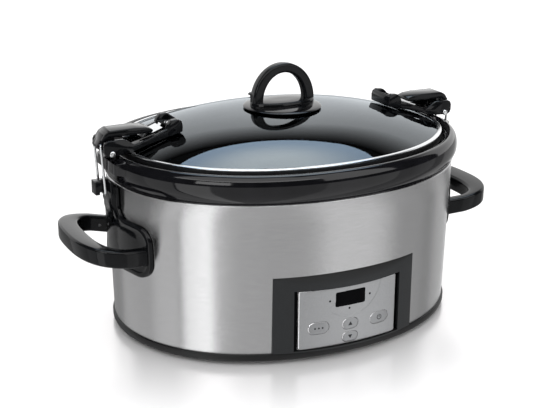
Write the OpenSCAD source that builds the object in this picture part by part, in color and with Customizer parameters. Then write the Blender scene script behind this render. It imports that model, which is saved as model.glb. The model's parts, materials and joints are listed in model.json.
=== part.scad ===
// Oval programmable slow cooker with a latching carry lid.
// Origin: centre of the footprint on the table. X runs along the long axis, -Y is the front, +Z is up.

/* [Housing] */
// Half length of the steel wrap at its top edge
body_a = 171.5; // [170:0.5:174]
// Half depth of the steel wrap at its top edge
body_b = 137.5; // [136:0.5:140]
// Exponent of the oval outline (2 is an ellipse)
squareness = 2.09; // [2.05:0.01:2.15]
// Height of the steel wrap's top edge
wrap_top = 150.7; // [150.5:0.1:151]
// How much narrower the wrap is at its foot, each side
wrap_taper = 3.44; // [3:0.1:4]
// Thickness of the steel sheet
sheet = 0.8; // [0.6:0.1:0.9]
// Points round each oval ring
ring_points = 60; // [60:4:72]

/* [Control panel] */
// Half width of the bezel
bezel_half = 72.3; // [71:0.1:72.6]
// Height of the bezel's top edge
bezel_top = 83; // [82:0.5:84]
// How far the bezel's middle stands out past the wrap
bezel_bulge = 3; // [2:0.1:3.5]
// How far the visor's front edge dips in the middle
visor_dip = 6.5; // [4:0.5:7]
// Half width of the silver fascia
plate_half = 50.3; // [49:0.1:50.6]
// Travel of each button
button_travel = 0.8; // [0.5:0.1:0.8]

/* [Crock] */
// Height of the stoneware rim's crest
crest_z = 177; // [176.5:0.1:177.2]
// How far the stoneware rim bulges past the wrap
rim_bulge = 4.2; // [3.5:0.1:4.3]
// How far each end lug reaches past the wrap
lug_reach = 7.5; // [6:0.5:8]

/* [Lid] */
// Height of the glass at its centre
dome_z = 203; // [202:0.5:203]
// Height of the glass edge's top
glass_edge_z = 178; // [177.8:0.1:178.1]
// Radius of the lid handle's foot
flange_r = 37.5; // [35:0.5:38]
// Top of the lid handle's arch
arch_top = 244.8; // [240:0.5:246]

/* [Side handles] */
// Reach of each handle loop along X
handle_reach = 219; // [215:0.5:220]
// Half width of each handle loop along Y
handle_half = 60; // [58:0.5:61]
// Width of the loop's grip at its tip, seen from above
grip = 19.5; // [17:0.5:20]

/* [Latches] */
// Radius of the bail wire
wire_r = 1.2; // [1:0.05:1.25]
// Half the spacing of the bail's two wires
wire_y = 8.9; // [8.8:0.05:9.1]

/* [Hidden] */
$fn = 48;
wrap_foot = 10.5;
floor_top = 5.8;
well_bottom = 30;
handle_screw_y = 48.5;
feet_at = [[-105, -74], [105, -74], [-105, 74], [105, 74]];
screws_at = [[-62, -52], [62, -52], [-62, 52], [62, 52]];

// The wrap's inset from its top outline at a height.
function taper_at(z) = wrap_taper * (wrap_top - z) / (wrap_top - wrap_foot);
function signed_pow(v, p) = sign(v) * pow(abs(v), p);
// One oval ring, offset outwards by grow.
function ring(grow, z) = [
    for (i = [0 : ring_points - 1])
        let (t = 360 * i / ring_points, p = 2 / squareness)
            [(body_a + grow) * signed_pow(cos(t), p), (body_b + grow) * signed_pow(sin(t), p), z]
];
// Distance from the X axis to the front of an oval, offset by grow, at a place along X.
function oval_y(x, grow) =
    (body_b + grow) * pow(1 - pow(abs(x) / (body_a + grow), squareness), 1 / squareness);
function wall_quads(first, second) = [
    for (i = [0 : ring_points - 1], half = [0, 1])
        let (j = (i + 1) % ring_points)
            half == 0
                ? [first + i, second + i, second + j]
                : [first + i, second + j, first + j]
];
function joined(lists) = [for (l = lists) each l];

// Solid of oval rings from the bottom cap to the top cap; each ring is [offset, height].
module oval_stack(rings) {
    n = ring_points;
    last = (len(rings) - 1) * n;
    polyhedron(
        points = joined([for (r = rings) ring(r[0], r[1])]),
        faces = concat(
            [[for (i = [0 : n - 1]) i]],
            joined([for (k = [0 : len(rings) - 2]) wall_quads(k * n, (k + 1) * n)]),
            [[for (i = [0 : n - 1]) last + n - 1 - i]]
        ),
        convexity = 6
    );
}

// Closed oval band: the rings go once round the cross-section, outside upwards first.
module oval_band(rings) {
    n = ring_points;
    m = len(rings);
    polyhedron(
        points = joined([for (r = rings) ring(r[0], r[1])]),
        faces = joined([for (k = [0 : m - 1]) wall_quads(k * n, ((k + 1) % m) * n)]),
        convexity = 6
    );
}

// Mirror a part made for the right-hand end onto the left-hand end.
module at_end(left) {
    if (left) mirror([1, 0, 0]) children();
    else children();
}

// Extrude an outline drawn in X and Z along Y, between two Y values.
module side_slab(y0, y1) {
    translate([0, y1, 0]) rotate([90, 0, 0]) linear_extrude(y1 - y0) children();
}

// Cylinder along Y centred on a point in X and Z.
module y_rod(x, z, r, y0, y1) {
    translate([x, y1, z]) rotate([90, 0, 0]) cylinder(r = r, h = y1 - y0);
}

// ---- Base ----

module base_tray() {
    color("#26282a")
    difference() {
        union() {
            oval_stack([
                [-6, 3], [-2.8, 3.8], [-1.74, 6], [-1.74, wrap_foot], [-3.15, wrap_foot], [-3.15, floor_top]
            ]);
            for (p = screws_at) translate([p[0], p[1], floor_top - 0.5]) cylinder(r = 6, h = 4.5);
            for (x = [-30, 30], y = [-100, -66])
                translate([x, y, floor_top - 0.5]) cylinder(r = 3, h = 5.2);
        }
        for (p = feet_at) translate([p[0], p[1], 0]) cylinder(r = 5, h = 12);
        for (p = screws_at) {
            translate([p[0], p[1], 0]) cylinder(r = 4.2, h = 6.6);
            translate([p[0], p[1], 0]) cylinder(r = 1.8, h = 20);
        }
        for (x = [-40 : 10 : 40]) translate([x - 1.5, 70, 0]) cube([3, 28, 12]);
    }
}

module rubber_feet() {
    color("#1a1a1a")
    for (p = feet_at) translate([p[0], p[1], 0]) {
        cylinder(r = 9, h = 2.9);
        translate([0, 0, 2.8]) cylinder(r = 4.9, h = 3);
    }
}

module base_screws() {
    color("silver")
    for (p = screws_at) translate([p[0], p[1], 4.2]) {
        cylinder(r = 3.8, h = 2.4);
        cylinder(r = 1.7, h = 16);
    }
}

module well_standoffs() {
    color("lightgray")
    for (p = screws_at) translate([p[0], p[1], 9.9]) difference() {
        cylinder(r = 5, h = well_bottom - 10);
        translate([0, 0, -1]) cylinder(r = 1.75, h = 13);
    }
}

// ---- Steel wrap ----

module steel_wrap() {
    color("#b9bbbd")
    difference() {
        oval_band([
            [-taper_at(wrap_foot), floor_top + 0.2], [0, wrap_top - 1.2], [0.35, wrap_top - 0.5],
            [0, wrap_top], [-sheet, wrap_top - 0.2], [-sheet, wrap_top - 1.6],
            [-taper_at(wrap_foot) - sheet, floor_top + 0.2]
        ]);
        translate([-bezel_half - 0.2, -160, 0]) cube([2 * bezel_half + 0.4, 60, bezel_top + 0.2]);
        for (x = [-160, 160], y = [-handle_screw_y, handle_screw_y]) translate([x, y, loop_mid])
            rotate([0, 90, 0]) cylinder(r = 2.4, h = 30, center = true);
        translate([0, 150, 24]) rotate([90, 0, 0]) cylinder(r = 7.2, h = 40);
    }
}

// ---- Well and heater ----

module heating_well() {
    color("#8d9194")
    oval_stack([
        [-38, well_bottom], [-30.5, well_bottom + 3], [-27, 42], [-21.5, 90], [-15, 147.2], [-13, 148.7],
        [-1.3, 148.7], [-1.3, 149.6], [-13.4, 149.6], [-16, 148], [-22.5, 90], [-28, 42.5],
        [-31.5, well_bottom + 4.2], [-38.5, well_bottom + 1]
    ]);
}

module heater_band() {
    color("#c8b27a")
    oval_band([[-22.2, 70], [-18.2, 104], [-19.4, 104], [-23.4, 70]]);
}

module thermal_fuse() {
    color("#d8d2c0")
    translate([30, 0, well_bottom - 3.4]) rotate([90, 0, 0]) cylinder(r = 2.2, h = 14, center = true);
    color("silver")
    translate([30, 0, well_bottom - 3.4]) rotate([90, 0, 0]) cylinder(r = 0.6, h = 26, center = true);
    color("silver")
    translate([27, -3, well_bottom - 1.3]) cube([6, 6, 1.2]);
}

module thermistor() {
    color("#b0b0b0")
    translate([0, 0, well_bottom - 8]) cylinder(r = 5, h = 7.9);
    color("#b0b0b0")
    translate([0, 0, well_bottom - 16]) cylinder(r = 2, h = 9);
}

module power_board() {
    color("#3f6b3f")
    translate([-36, -106, 10.6]) cube([72, 46, 1.6]);
}

module power_relay() {
    color("#2c3e66")
    translate([-30, -98, 12.3]) cube([19, 15.5, 15]);
}

module power_capacitor() {
    color("#a08a30")
    translate([4, -98, 12.3]) cube([18, 8, 12]);
}

// ---- Control panel ----

front_y = oval_y(0, -taper_at(bezel_top));
face_r = 243;
face_centre = face_r - front_y - 0.9;
plate_thick = 2.4;
plate_foot = 12.4;
plate_top = 69.4;
plate_dip = 1;
board_y = -122;
board_screws_at = [[-57, 17], [57, 17], [-57, 68], [57, 68]];

// The bezel's cross-section at a place along X: front, visor and back edges.
function bezel_bow(x) = 1 - pow(x / bezel_half, 2);
function bezel_section(x) =
    let (
        wall = oval_y(x, -taper_at(bezel_top)),
        out = wall + 0.2 + bezel_bulge * bezel_bow(x),
        back = wall - 5
    )
    [
        [x, -out, wrap_foot + 0.3], [x, -out, bezel_top - 0.6 - visor_dip * bezel_bow(x)],
        [x, -wall, bezel_top], [x, -back, bezel_top], [x, -back, wrap_foot + 0.3]
    ];

module bezel_body() {
    steps = 24;
    polyhedron(
        points = joined([for (i = [0 : steps]) bezel_section(-bezel_half + 2 * bezel_half * i / steps)]),
        faces = concat(
            [[4, 3, 2, 1, 0]],
            [
                for (i = [0 : steps - 1], k = [0 : 4], half = [0, 1])
                    let (a = 5 * i + k, b = 5 * i + (k + 1) % 5)
                        half == 0 ? [a, b, b + 5] : [a, b + 5, a + 5]
            ],
            [[for (k = [0 : 4]) 5 * steps + k]]
        )
    );
}

// Large cylinder whose underside gives the fascia's top edge its sag; raised by a gap.
module sag_cutter(gap) {
    sag_r = (pow(plate_half, 2) + pow(plate_dip, 2)) / (2 * plate_dip);
    translate([0, -100, plate_top - plate_dip + sag_r + gap])
        rotate([90, 0, 0]) cylinder(r = sag_r, h = 60, $fn = 360);
}

module control_bezel() {
    slot = 4.2;
    ledge = 4;
    gap = 0.2;
    color("#3a3c3f")
    difference() {
        union() {
            bezel_body();
            for (p = board_screws_at) y_rod(p[0], p[1], 3.2, board_y - 5, board_y - 0.1);
        }
        difference() {
            translate([-plate_half - slot, -160, plate_foot - gap])
                cube([2 * (plate_half + slot), 60, plate_top - plate_foot + 3 * gap]);
            translate([0, face_centre, 0]) cylinder(r = face_r - plate_thick - 0.1, h = 90, $fn = 240);
            sag_cutter(2 * gap);
        }
        difference() {
            translate([-plate_half + ledge, -160, plate_foot - gap])
                cube([2 * (plate_half - ledge), 60, plate_top - plate_foot - 1.6]);
            sag_cutter(-1.6);
        }
        for (p = board_screws_at) y_rod(p[0], p[1], 1.3, board_y - 4.2, board_y + 5);
    }
}

// Stadium-shaped prism along Y: two round ends and a flat middle.
module stadium(x, z, w, h, y0, y1) {
    y_rod(x - (w - h) / 2, z, h / 2, y0, y1);
    y_rod(x + (w - h) / 2, z, h / 2, y0, y1);
    translate([x - (w - h) / 2, y0, z - h / 2]) cube([w - h, y1 - y0, h]);
}

// Curved sheet that follows the panel's face, between two depths behind it.
module face_sheet(front, back, z0, z1) {
    translate([0, face_centre, z0]) difference() {
        cylinder(r = face_r - front, h = z1 - z0, $fn = 240);
        translate([0, 0, -1]) cylinder(r = face_r - back, h = z1 - z0 + 2, $fn = 240);
    }
}

// Each button: place along X and Z, width and height.
select_at = [-31.5, 32, 21, 12];
power_at = [31.5, 31, 21, 12];
up_at = [0, 31.5, 17, 11];
down_at = [0, 19, 17, 10];
buttons = [select_at, power_at, up_at, down_at];

module panel_plate() {
    color("#b4b6b9")
    difference() {
        intersection() {
            face_sheet(0, plate_thick, plate_foot, plate_top);
            translate([-plate_half, -170, 0]) cube([2 * plate_half, 80, 90]);
        }
        intersection() {
            face_sheet(-1, 0.5, 30, 90);
            y_rod(0, 72, 33, -150, -110);
            side_slab(-150, -110) polygon([[-42.7, 30], [2.5, 71.5], [2.5, 80], [40, 80], [40, 30]]);
        }
        sag_cutter(0);
        for (b = buttons) stadium(b[0], b[1], b[2], b[3], -150, -110);
        translate([-15.4, -160, 49.5]) cube([30.8, 50, 14.4]);
    }
}

module display_window() {
    color("#0b0b0c")
    intersection() {
        face_sheet(0.7, plate_thick, 49.7, 63.7);
        translate([-15.2, -170, 0]) cube([30.4, 80, 90]);
    }
}

module display_module() {
    color("#1c1c20")
    translate([-15, -132, 50]) cube([30, 9.9, 13.5]);
}

module control_board() {
    color("#2f5d3a")
    difference() {
        translate([-61.5, board_y, 6.6]) cube([123, 1.6, 72]);
        for (p = board_screws_at) y_rod(p[0], p[1], 1.6, -130, -110);
    }
}

module tact_switches() {
    color("#202020")
    for (b = buttons) {
        translate([b[0] - 3, board_y - 3.5, b[1] - 3]) cube([6, 3.4, 6]);
        y_rod(b[0], b[1], 1.6, board_y - 4.4, board_y - 3.4);
    }
}

module board_screws() {
    color("silver")
    for (p = board_screws_at) {
        y_rod(p[0], p[1], 2.8, board_y + 1.7, board_y + 3.6);
        y_rod(p[0], p[1], 1.25, board_y - 4, board_y + 1.8);
    }
}

// A button cap that follows the face, with a retaining shoulder and a stem towards its switch.
module panel_button(b, tint) {
    gap = 0.35;
    color(tint)
    union() {
        intersection() {
            face_sheet(-0.3, 2.6, b[1] - 10, b[1] + 10);
            stadium(b[0], b[1], b[2] - 2 * gap, b[3] - 2 * gap, -150, -110);
        }
        intersection() {
            face_sheet(2.5 + 0.4, 3.9, b[1] - 10, b[1] + 10);
            stadium(b[0], b[1], b[2] + 1.4, b[3], -150, -110);
        }
        intersection() {
            face_sheet(2.5, 3.2, b[1] - 10, b[1] + 10);
            stadium(b[0], b[1], b[2] - 3, b[3] - 3, -150, -110);
        }
        y_rod(b[0], b[1], 2, -face_y(b[0]) + 3.5, board_y - 4.4 - button_travel - 0.2);
    }
}
function face_y(x) = sqrt(face_r * face_r - x * x) - face_centre;

module select_button() panel_button(select_at, "#aeb0b3");
module power_button() panel_button(power_at, "#aeb0b3");
module up_button() panel_button(up_at, "#aeb0b3");
module down_button() panel_button(down_at, "#aeb0b3");

// ---- Side handles ----

loop_rise = 0.15;
loop_mid = 93.5;
loop_height = 16;
loop_base_x = 165;
loop_widest_x = 178;
leg_width = 10.5;
leg_splay = 15;
hook_post_x = 178.5;
hook_head_x = 186.4;
hook_tip_x = 190.6;
hook_top = 153.8;
hook_web_z = 143.8;
hook_head_z = 141.3;
loop_power = 2 / 2.7;

// Superellipse half-outline of the loop, from the back leg round the tip to the front leg.
function loop_outline(a, b) = concat(
    [[130, leg_splay - b]],
    [
        for (t = [-90 : 7.5 : 90])
            [loop_widest_x + a * signed_pow(cos(t), loop_power), b * signed_pow(sin(t), loop_power)]
    ],
    [[130, b - leg_splay]]
);

module handle_loop() {
    loop_foot = loop_mid - loop_height / 2 - loop_rise * loop_base_x;
    multmatrix([[1, 0, 0, 0], [0, 1, 0, 0], [loop_rise, 0, 1, loop_foot], [0, 0, 0, 1]])
    linear_extrude(loop_height) difference() {
        polygon(loop_outline(handle_reach - loop_widest_x, handle_half));
        polygon(loop_outline(handle_reach - loop_widest_x - grip, handle_half - leg_width));
    }
}

// Outline of the wall plate in Y and Z: a wide rounded body and a neck up to the hook.
module plate_outline() {
    offset(r = -12) offset(delta = 12) union() {
        translate([0, 96]) offset(r = 16) square([82, 18], center = true);
        translate([-12.5, 100]) square([25, 48]);
    }
}

module wall_plate() {
    intersection() {
        translate([130, 0, 0]) rotate([90, 0, 90]) linear_extrude(60) plate_outline();
        oval_stack([[3.6 - taper_at(60), 60], [3.6, 150]]);
    }
}

// Rectangle given by its limits.
module box_outline(x0, x1, z0, z1) {
    translate([x0, z0]) square([x1 - x0, z1 - z0]);
}

module side_handle(left) {
    color("#141516")
    at_end(left)
    difference() {
        union() {
            wall_plate();
            handle_loop();
            side_slab(-12, 12)
                polygon([[166, 118], [174, 118], [hook_post_x, 134], [hook_post_x, 149.9], [166, 149.9]]);
            side_slab(-12, 12) box_outline(175.9, hook_post_x, 149, hook_top);
            side_slab(-6, 6) box_outline(hook_post_x - 1, hook_head_x + 1, hook_web_z, hook_top);
            side_slab(-6, 6) box_outline(hook_head_x, hook_tip_x, hook_head_z, hook_top);
        }
        oval_stack([[0.3 - taper_at(40), 40], [0.75, 149.4], [0.75, 150.0]]);
        for (y = [-handle_screw_y, handle_screw_y]) translate([0, y, loop_mid])
            rotate([0, 90, 0]) cylinder(r = 1.75, h = 175);
    }
}

module side_handle_left() side_handle(true);
module side_handle_right() side_handle(false);

module handle_screws(left) {
    color("silver")
    at_end(left)
    for (y = [-handle_screw_y, handle_screw_y]) translate([152, y, loop_mid]) rotate([0, 90, 0]) {
        cylinder(r = 3.6, h = 2.2);
        cylinder(r = 1.7, h = 20);
    }
}
module handle_screws_left() handle_screws(true);
module handle_screws_right() handle_screws(false);

module cord_gland() {
    color("#1a1a1a")
    translate([0, 0, 24]) rotate([-90, 0, 0]) translate([0, 0, 128]) difference() {
        union() {
            cylinder(r = 7, h = 7.6);
            cylinder(r = 9, h = 3.6);
            translate([0, 0, 7.2]) cylinder(r = 9, h = 1.9);
        }
        translate([0, 0, -1]) cylinder(r = 3.6, h = 20);
    }
}

// ---- Crock ----

module crock_lug(side) {
    translate([side * (body_a - 6), 0, 163.5])
    linear_extrude(9.5)
    polygon([
        for (t = [-90 : 10 : 90])
            [side * max(-2, (lug_reach + 6) * signed_pow(cos(t), 0.8)), 27 * signed_pow(sin(t), 0.8)]
    ]);
}

module stoneware_crock() {
    color("#0e0e10")
    difference() {
        union() {
            oval_stack([
                [-46, 33.6], [-36, 36], [-31, 44], [-25, 90], [-18.5, 140], [-18, 148], [-15, 150.0],
                [-1.7, 150.0], [-1.3, 151.6], [1.8, 156], [3.8, 161], [rim_bulge, 166], [3.6, 170.5],
                [2.2, 174.2], [0, crest_z - 0.3], [-2.6, crest_z + 0.2], [-5.6, crest_z - 0.8],
                [-8, 173.6], [-8.8, 170.2], [-20.5, 170.0], [-23, 168.4], [-25, 163], [-32, 90],
                [-38, 52], [-43, 44.5], [-51, 42]
            ]);
            for (side = [-1, 1]) crock_lug(side);
        }
        for (side = [-1, 1]) translate([side * (body_a + 6.6) - 7, -24, 153.5]) cube([14, 48, 9]);
    }
}

// ---- Lid ----

glass_a = body_a - 13.1;
glass_b = body_b - 13.1;
// Height of the dome's outer face at a fraction of the way to its edge.
function dome(s) = glass_edge_z + (dome_z - glass_edge_z) * (1 - pow(s, 2.5));
function dome_ring(s, drop) = [
    for (i = [0 : ring_points - 1])
        let (t = 360 * i / ring_points, p = 2 / squareness)
            [glass_a * s * signed_pow(cos(t), p), glass_b * s * signed_pow(sin(t), p), dome(s) - drop]
];
dome_steps = [0.22, 0.38, 0.52, 0.65, 0.76, 0.86, 0.94, 1];

module glass_shell() {
    n = ring_points;
    rings = concat(
        [for (s = dome_steps) dome_ring(s * 0.975, 3.6)],
        [[for (p = dome_ring(1, 0)) [p[0], p[1], glass_edge_z - 3.2]]],
        [for (k = [len(dome_steps) - 1 : -1 : 0]) dome_ring(dome_steps[k], 0)]
    );
    last = (len(rings) - 1) * n;
    polyhedron(
        points = joined(rings),
        faces = concat(
            [[for (i = [0 : n - 1]) i]],
            joined([for (k = [0 : len(rings) - 2]) wall_quads(k * n, (k + 1) * n)]),
            [[for (i = [0 : n - 1]) last + n - 1 - i]]
        ),
        convexity = 4
    );
}

vent_at = [8, 80];
latch_screw_x = 117;

module lid_glass() {
    color([0.55, 0.6, 0.63, 0.5])
    difference() {
        glass_shell();
        translate([0, 0, 180]) cylinder(r = 3.2, h = 40);
        translate([vent_at[0], vent_at[1], 180]) cylinder(r = 3.05, h = 40);
        for (side = [-1, 1]) translate([side * latch_screw_x, 0, 170]) cylinder(r = 2.6, h = 40);
    }
}

module lid_rim_band() {
    color("#d4d6d8")
    oval_band([
        [-11.1, 177.6], [-11.1, 178.8], [-11.9, 179.3], [-14.8, 179.5], [-14.8, 178.8],
        [-12.95, 178.3], [-12.95, 177.6]
    ]);
}

module lid_gasket() {
    color("#17171a")
    oval_band([
        [-11.6, 170.45], [-11.0, 172], [-11.0, 177.4], [-12.95, 177.4], [-12.95, 174.5], [-17.5, 174.5],
        [-17.5, 173.2], [-13.6, 170.45]
    ]);
}

module arch_outline(a, b) {
    foot = 204.5;
    polygon(concat([[a, foot]], [for (t = [0 : 5 : 180]) [a * cos(t), 209 + b * sin(t)]], [[-a, foot]]));
}

module lid_handle() {
    color("#121315")
    difference() {
        union() {
            translate([0, 0, 202.55]) cylinder(r1 = flange_r - 1.5, r2 = flange_r, h = 1.1);
            translate([0, 0, 203.6]) cylinder(r1 = flange_r, r2 = flange_r - 2.2, h = 1.2);
            translate([0, 0, 204.7]) cylinder(r1 = flange_r - 2.4, r2 = 20, h = 1.6);
            translate([0, 0, 204.8]) linear_extrude(4.8)
                polygon([for (t = [0 : 10 : 350]) [33 * cos(t), 17 * sin(t)]]);
            side_slab(-5.3, 5.3) difference() {
                arch_outline(32.3, arch_top - 209);
                arch_outline(21.9, arch_top - 209 - 9.2);
            }
        }
        translate([0, 0, 200]) cylinder(r = 2.15, h = 8.4);
    }
}

module lid_handle_screw() {
    color("silver")
    union() {
        translate([0, 0, 193.4]) cylinder(r = 4.4, h = 3);
        translate([0, 0, 196]) cylinder(r = 2.1, h = 12.2);
    }
}

module lid_handle_washer() {
    color("#2a2a2c")
    translate([0, 0, 196.5]) difference() {
        cylinder(r = 11, h = 2.3);
        translate([0, 0, -1]) cylinder(r = 2.2, h = 5);
    }
}

module vent_grommet() {
    color("#101010")
    translate([vent_at[0], vent_at[1], 0]) difference() {
        union() {
            translate([0, 0, 187]) cylinder(r = 3, h = 10);
            translate([0, 0, 196.3]) cylinder(r1 = 5.2, r2 = 4.4, h = 1.8);
        }
        translate([0, 0, 180]) cylinder(r = 1.4, h = 40);
    }
}

// ---- Latches (drawn for the right-hand end) ----

pin_x = 177;
pin_z = 181;
pin_r = 2;
bail_x = 185.2;
bail_z = 188;
bar_x = 182.4;
bar_z = 142.4;
cheek_in = 12.3;
cheek_out = 16.5;
lip_half = 7.4;
lever_half = 10;

module latch_bracket(left) {
    cheek = [
        [122, 190.9], [146, 184.7], [158, 180.6], [168, 179.2], [180, 178.4], [184.6, 182.5],
        [184.6, 189], [181.5, 193.2], [165, 193.2], [156, 187.5], [142, 191.6], [124, 198]
    ];
    block = [
        [109.4, 193.8], [124.5, 189.9], [124.5, 199], [123, 203], [119.5, 205.6], [113.5, 206], [110, 203.5]
    ];
    floor_web = [
        [122, 191.2], [146, 184.7], [158, 180.6], [163, 180.1], [163, 182.3], [146, 186.9], [122, 193.4]
    ];
    color("#1a1b1d")
    at_end(left)
    difference() {
        union() {
            side_slab(-cheek_out, cheek_out) polygon(block);
            for (s = [-1, 1])
                side_slab(s > 0 ? cheek_in : -cheek_out, s > 0 ? cheek_out : -cheek_in) polygon(cheek);
            side_slab(-cheek_in - 0.1, cheek_in + 0.1) polygon(floor_web);
        }
        y_rod(pin_x, pin_z, pin_r + 0.04, -30, 30);
        translate([latch_screw_x, 0, 180]) cylinder(r = 2.2, h = 40);
        translate([latch_screw_x, 0, 199]) cylinder(r = 4.6, h = 20);
        translate([latch_screw_x, -10.5, 199]) cube([20, 21, 20]);
    }
}
module latch_bracket_left() latch_bracket(true);
module latch_bracket_right() latch_bracket(false);

// Screw and nut through the glass, and the bright leaf that lies between the bracket's arms.
module latch_fasteners(left) {
    leaf = [[126, 197], [146, 190], [146, 191], [126.3, 198]];
    strap = [[121, 199.1], [124.7, 199.1], [126.4, 197.2], [126.7, 197.9], [125.3, 200.2], [121, 200.2]];
    color("#c9cbcd")
    at_end(left) {
        translate([latch_screw_x, 0, 199.1]) cylinder(r1 = 4.2, r2 = 3.2, h = 2.2);
        translate([latch_screw_x, 0, 181.5]) cylinder(r = 1.95, h = 17.8);
        translate([latch_screw_x, 0, 182.6]) cylinder(r = 4.2, h = 3.4, $fn = 6);
        side_slab(-9, 9) polygon(leaf);
        side_slab(-3, 3) polygon(strap);
        translate([latch_screw_x, -3, 199.1]) cube([4.2, 6, 1.1]);
        translate([latch_screw_x, 0, 197]) cylinder(r = 1.95, h = 3);
    }
}
module latch_fasteners_left() latch_fasteners(true);
module latch_fasteners_right() latch_fasteners(false);

module latch_pin(left) {
    color("#d0d2d4")
    at_end(left) {
        y_rod(pin_x, pin_z, pin_r, -17, 17.4);
        y_rod(pin_x, pin_z, 2.9, -18.2, -16.7);
        y_rod(pin_x, pin_z, 2.9, 16.7, 18.2);
    }
}
module latch_pin_left() latch_pin(true);
module latch_pin_right() latch_pin(false);

module latch_lever(left) {
    top = [
        [137, 194.6], [177, 194.2], [182.4, 191.4], [185.2, 192], [181.4, 197.8], [176, 200.8], [152, 201],
        [140, 200], [135.5, 198], [135.5, 196]
    ];
    lip = [
        [183.6, 184], [187.2, 184], [188.2, 187.5], [185.2, 192], [181.4, 197.8], [176, 200.2],
        [171, 200], [172.5, 183], [175, 178.5]
    ];
    color("#202224")
    at_end(left)
    difference() {
        union() {
            side_slab(-lever_half, lever_half) polygon(top);
            side_slab(-lip_half, lip_half) polygon(lip);
            y_rod(pin_x, pin_z, 4.8, -lip_half, lip_half);
        }
        y_rod(pin_x, pin_z, pin_r + 0.06, -30, 30);
        y_rod(bail_x, bail_z, wire_r + 0.06, -30, 30);
    }
}
module latch_lever_left() latch_lever(true);
module latch_lever_right() latch_lever(false);

module latch_bail(left) {
    length = norm([bail_x - bar_x, bail_z - bar_z]);
    lean = atan2(bail_x - bar_x, bail_z - bar_z);
    rod_end = wire_y + wire_r;
    color("#b8bcc0")
    at_end(left) {
        for (s = [-1, 1]) {
            translate([bar_x, s * wire_y, bar_z])
                rotate([0, lean, 0]) cylinder(r = wire_r - 0.12, h = length);
            y_rod(bail_x, bail_z, wire_r, s > 0 ? 3 : -rod_end, s > 0 ? rod_end : -3);
        }
        y_rod(bar_x, bar_z, wire_r, -rod_end, rod_end);
    }
}
module latch_bail_left() latch_bail(true);
module latch_bail_right() latch_bail(false);

base_tray();
rubber_feet();
base_screws();
steel_wrap();
heating_well();
well_standoffs();
heater_band();
thermal_fuse();
thermistor();
power_board();
power_relay();
power_capacitor();
control_bezel();
panel_plate();
display_window();
display_module();
control_board();
tact_switches();
board_screws();
select_button();
power_button();
up_button();
down_button();
side_handle_left();
side_handle_right();
handle_screws_left();
handle_screws_right();
cord_gland();
stoneware_crock();
lid_glass();
lid_rim_band();
lid_gasket();
lid_handle();
lid_handle_screw();
lid_handle_washer();
vent_grommet();
latch_bracket_left();
latch_bracket_right();
latch_fasteners_left();
latch_fasteners_right();
latch_pin_left();
latch_pin_right();
latch_lever_left();
latch_lever_right();
latch_bail_left();
latch_bail_right();
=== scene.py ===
"""Looks for the slow cooker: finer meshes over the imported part, procedural materials, studio light.

Shapes are given in millimetres, and build() turns them into metres. The front faces -Y, and Z points up.
"""

import json
from math import atan2, copysign, cos, dist, hypot, pi, radians, sin, sqrt

import bmesh
import bpy
from mathutils import Matrix, Vector


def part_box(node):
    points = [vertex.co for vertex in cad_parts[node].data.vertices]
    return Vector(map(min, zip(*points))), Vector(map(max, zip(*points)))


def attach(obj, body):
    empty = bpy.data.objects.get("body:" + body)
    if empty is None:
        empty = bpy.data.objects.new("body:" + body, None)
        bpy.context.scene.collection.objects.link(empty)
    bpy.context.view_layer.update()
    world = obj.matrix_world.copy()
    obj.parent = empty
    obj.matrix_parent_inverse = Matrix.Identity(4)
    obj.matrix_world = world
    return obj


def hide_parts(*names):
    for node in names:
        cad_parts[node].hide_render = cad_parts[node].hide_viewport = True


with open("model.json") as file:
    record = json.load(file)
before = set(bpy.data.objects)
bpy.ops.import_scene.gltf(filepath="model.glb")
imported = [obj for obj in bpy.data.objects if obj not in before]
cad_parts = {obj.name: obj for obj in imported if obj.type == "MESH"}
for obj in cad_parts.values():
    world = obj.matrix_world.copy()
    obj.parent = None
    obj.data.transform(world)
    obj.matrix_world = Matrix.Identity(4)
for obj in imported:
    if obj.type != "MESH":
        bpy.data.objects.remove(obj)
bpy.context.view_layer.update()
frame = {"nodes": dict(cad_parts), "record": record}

MM = 0.001
SEGMENTS = 240  # points round an oval
EXPONENT = 2.09  # of the superellipse that the body follows
CURL = 0.35  # how far the wrap's rolled edge stands out from its wall
WRAP_FOOT = 10.5
FOOT_INSET = 3.44  # how far the wall leans in from its top to its foot


def size_mm(node):
    """Lowest and highest corner of a CAD node, in millimetres."""
    low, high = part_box(node)
    return [v / MM for v in low], [v / MM for v in high]


wrap_high = size_mm("steel_wrap")[1]
HALF_A = wrap_high[0] - CURL
HALF_B = wrap_high[1] - CURL
WRAP_TOP = wrap_high[2]
TAPER = FOOT_INSET / (WRAP_TOP - WRAP_FOOT)


# ---- materials


def new_material(name):
    material = bpy.data.materials.new(name)
    material.use_nodes = True
    nodes = material.node_tree.nodes
    return material, nodes, nodes["Principled BSDF"]


def bare_material(name):
    """Material with nothing but its output node."""
    material, nodes, shader = new_material(name)
    nodes.remove(shader)
    return material, nodes


def set_inputs(node, **inputs):
    """Sets inputs of a node; an underscore in a keyword stands for a space."""
    for name, value in inputs.items():
        node.inputs[name.replace("_", " ")].default_value = value
    return node


def add_node(nodes, kind, **inputs):
    return set_inputs(nodes.new(f"ShaderNode{kind}"), **inputs)


def wire(first, output, second, entry):
    """Links an output of one node to an input of another."""
    first.id_data.links.new(first.outputs[output], second.inputs[entry])


def feed_object_space(node, entry):
    """Feeds an input of a node with places in the object's own space."""
    wire(add_node(node.id_data.nodes, "TexCoord"), "Object", node, entry)


def show(shader, output):
    """Makes a shader the material's surface."""
    wire(shader, output, next(n for n in shader.id_data.nodes if n.type == "OUTPUT_MATERIAL"), "Surface")


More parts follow.
